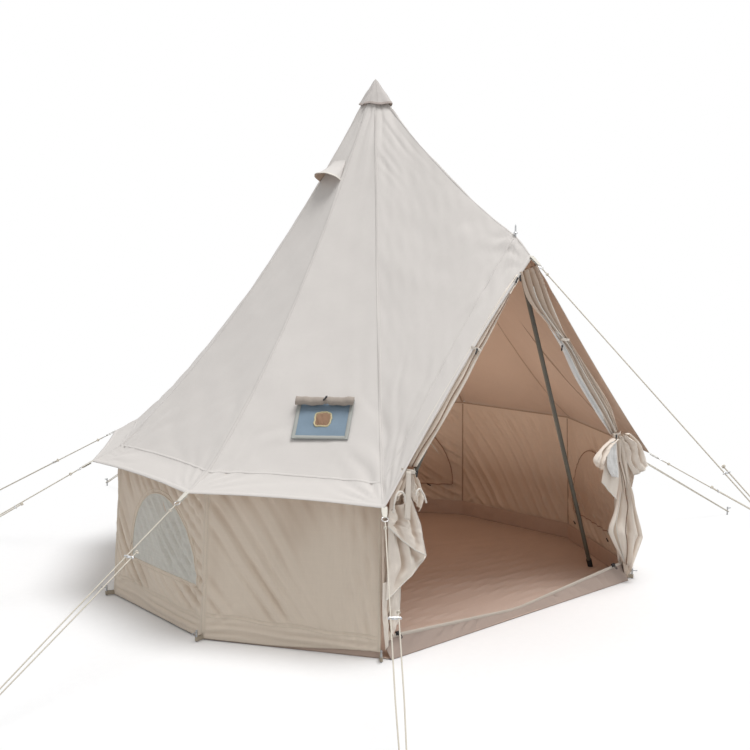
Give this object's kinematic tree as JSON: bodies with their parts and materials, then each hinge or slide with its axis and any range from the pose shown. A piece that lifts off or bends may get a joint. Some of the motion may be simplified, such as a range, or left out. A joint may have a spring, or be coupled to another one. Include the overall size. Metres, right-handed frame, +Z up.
{
  "type": "bell tent",
  "caption": "Bell tent with low walls, a centre pole, an A-frame doorway with tied-back flaps, netting windows, a stove jack, sewn-in floor and pegged guy ropes.",
  "frame": {"origin": "on the centre pole's axis, at the underside of the floor, which is ground level", "axes": "+Z up; -Y out through the doorway; +X to the right of a viewer who faces the doorway"},
  "size_m": [5.2084, 5.751, 2.545],
  "materials": {
    "roof_canvas": "matte woven cotton canvas, pale warm grey",
    "wall_canvas": "matte woven cotton canvas, tan beige",
    "netting": "fine grey-blue insect netting",
    "floor_cloth": "coated woven groundsheet, reddish brown, dull",
    "stove_cloth": "heat-proof coated cloth, blue-grey, matte",
    "flap_cloth": "matte canvas with a pale piped hem",
    "webbing": "woven webbing, cream",
    "rope": "braided cord, cream",
    "pole_steel": "dark grey-green powder coat, satin",
    "rubber": "black, matte",
    "dark_plastic": "black moulded plastic",
    "ring_steel": "bright zinc plate",
    "runner_alloy": "bare alloy, satin",
    "peg_steel": "galvanised, dull"
  },
  "bodies": {
    "tent": {"groundsheet": "floor_cloth", "groundsheet_upstands": "floor_cloth", "wall_panel_1": "wall_canvas", "wall_panel_2": "wall_canvas", "wall_panel_3": "wall_canvas", "wall_panel_4": "wall_canvas", "wall_panel_5": "wall_canvas", "wall_panel_6": "wall_canvas", "wall_panel_7": "wall_canvas", "wall_panel_8": "wall_canvas", "window_meshes": "netting", "window_covers": "wall_canvas", "roof_panel_1": "roof_canvas", "roof_panel_2": "roof_canvas", "roof_panel_3": "roof_canvas", "roof_panel_4": "roof_canvas", "roof_panel_5": "roof_canvas", "roof_panel_6": "roof_canvas", "roof_panel_7": "roof_canvas", "roof_panel_8": "roof_canvas", "roof_front_right": "roof_canvas", "roof_front_left": "roof_canvas", "roof_cap": "roof_canvas", "vent_hoods": "roof_canvas", "stove_panel": "stove_cloth", "stove_flap_roll": "flap_cloth", "door_flap_left": "flap_cloth", "door_flap_right": "flap_cloth", "centre_pole_lower": "pole_steel", "centre_pole_middle": "pole_steel", "centre_pole_upper": "pole_steel", "centre_pole_foot": "rubber", "pole_finial": "dark_plastic", "frame_left_lower": "pole_steel", "frame_left_upper": "pole_steel", "frame_right_lower": "pole_steel", "frame_right_upper": "pole_steel", "frame_crown": "dark_plastic", "frame_feet": "rubber", "eave_tabs": "webbing", "eave_rings": "ring_steel", "guy_ropes_right": "rope", "guy_ropes_left": "rope", "guy_rope_door": "rope", "pegs": "peg_steel", "peg_loops": "webbing", "toggles": "dark_plastic"},
    "runner_1": {"runner_1": "runner_alloy"},
    "runner_2": {"runner_2": "runner_alloy"},
    "runner_3": {"runner_3": "runner_alloy"},
    "runner_4": {"runner_4": "runner_alloy"},
    "runner_5": {"runner_5": "runner_alloy"},
    "runner_6": {"runner_6": "runner_alloy"},
    "runner_7": {"runner_7": "runner_alloy"},
    "runner_8": {"runner_8": "runner_alloy"},
    "runner_9": {"runner_9": "runner_alloy"},
    "runner_door": {"runner_door": "runner_alloy"},
    "zip_slider_left": {"zip_slider_left": "dark_plastic"},
    "zip_slider_right": {"zip_slider_right": "dark_plastic"}
  },
  "joints": [
    {"name": "runner_1_slide", "type": "slide", "parent": "tent", "child": "runner_1", "axis": [0.5802, -0.6675, -0.4666], "range_m": [0, 0.35]},
    {"name": "runner_2_slide", "type": "slide", "parent": "tent", "child": "runner_2", "axis": [0.8572, -0.2177, -0.4666], "range_m": [0, 0.35]},
    {"name": "runner_3_slide", "type": "slide", "parent": "tent", "child": "runner_3", "axis": [0.8284, 0.3097, -0.4666], "range_m": [0, 0.35]},
    {"name": "runner_4_slide", "type": "slide", "parent": "tent", "child": "runner_4", "axis": [0.5041, 0.7267, -0.4666], "range_m": [0, 0.35]},
    {"name": "runner_5_slide", "type": "slide", "parent": "tent", "child": "runner_5", "axis": [0, 0.8844, -0.4666], "range_m": [0, 0.35]},
    {"name": "runner_6_slide", "type": "slide", "parent": "tent", "child": "runner_6", "axis": [-0.5041, 0.7267, -0.4666], "range_m": [0, 0.35]},
    {"name": "runner_7_slide", "type": "slide", "parent": "tent", "child": "runner_7", "axis": [-0.8284, 0.3097, -0.4666], "range_m": [0, 0.35]},
    {"name": "runner_8_slide", "type": "slide", "parent": "tent", "child": "runner_8", "axis": [-0.8572, -0.2177, -0.4666], "range_m": [0, 0.35]},
    {"name": "runner_9_slide", "type": "slide", "parent": "tent", "child": "runner_9", "axis": [-0.5802, -0.6675, -0.4666], "range_m": [0, 0.35]},
    {"name": "runner_door_slide", "type": "slide", "parent": "tent", "child": "runner_door", "axis": [0, -0.7709, -0.6369], "range_m": [0, 0.35]},
    {"name": "zip_right_slide", "type": "slide", "parent": "tent", "child": "zip_slider_right", "axis": [0.9972, 0, 0.0749], "range_m": [-0.7, 0]},
    {"name": "zip_left_slide", "type": "slide", "parent": "tent", "child": "zip_slider_left", "axis": [0.9972, 0, -0.0749], "range_m": [0, 0.7]}
  ]
}
